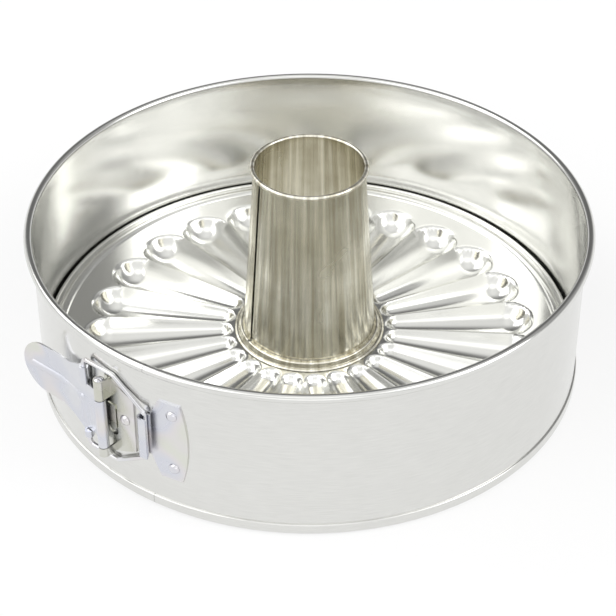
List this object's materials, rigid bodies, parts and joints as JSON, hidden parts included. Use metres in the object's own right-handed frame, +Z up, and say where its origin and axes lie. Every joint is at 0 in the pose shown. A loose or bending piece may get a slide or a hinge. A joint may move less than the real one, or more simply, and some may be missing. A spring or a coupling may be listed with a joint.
{
  "type": "springform tube cake pan",
  "caption": "Round tinplate springform cake pan: a sprung band closed by an over-centre latch, with a lift-out fluted base that carries a tall centre tube.",
  "frame": {"origin": "on the band's axis, in the plane that the pan stands on", "axes": "+Z up along the band's axis and the tube; -Y is the front, where the latch is; +X is to the right seen from the front, the side of the catch plate"},
  "size_m": [0.268, 0.272, 0.11],
  "materials": {
    "band_tinplate": "bright rolled tinplate",
    "base_tinplate": "bright pressed tinplate",
    "tube_tinplate": "rolled tinplate with soft drawing lines",
    "latch_steel": "zinc-plated pressed steel",
    "rivet_steel": "bright plated steel",
    "bail_wire": "bright drawn wire"
  },
  "bodies": {
    "band_body": {"band": "band_tinplate", "hinge_bracket": "latch_steel", "bracket_rivet": "rivet_steel", "hinge_pin": "rivet_steel", "catch_plate": "latch_steel", "catch_rivets": "rivet_steel"},
    "base_body": {"base_disc": "base_tinplate", "centre_tube": "tube_tinplate"},
    "lever_body": {"lever": "latch_steel"},
    "bail_body": {"bail": "bail_wire"}
  },
  "joints": [
    {"name": "lever_hinge", "type": "hinge", "parent": "band_body", "child": "lever_body", "pos_m": [-0.00873, -0.13542, 0.042], "axis": [0, 0, 1], "range_deg": [0, 85]},
    {"name": "bail_hinge", "type": "hinge", "parent": "lever_body", "child": "bail_body", "pos_m": [-0.02173, -0.13142, 0.042], "axis": [0, 0, 1], "range_deg": [-56.78, 0]},
    {"name": "base_lift", "type": "slide", "parent": "band_body", "child": "base_body", "axis": [0, 0, 1], "range_m": [0, 0.09]}
  ],
  "couplings": [
    {"joint": "bail_hinge", "follows": "lever_hinge", "ratio": -0.668}
  ]
}
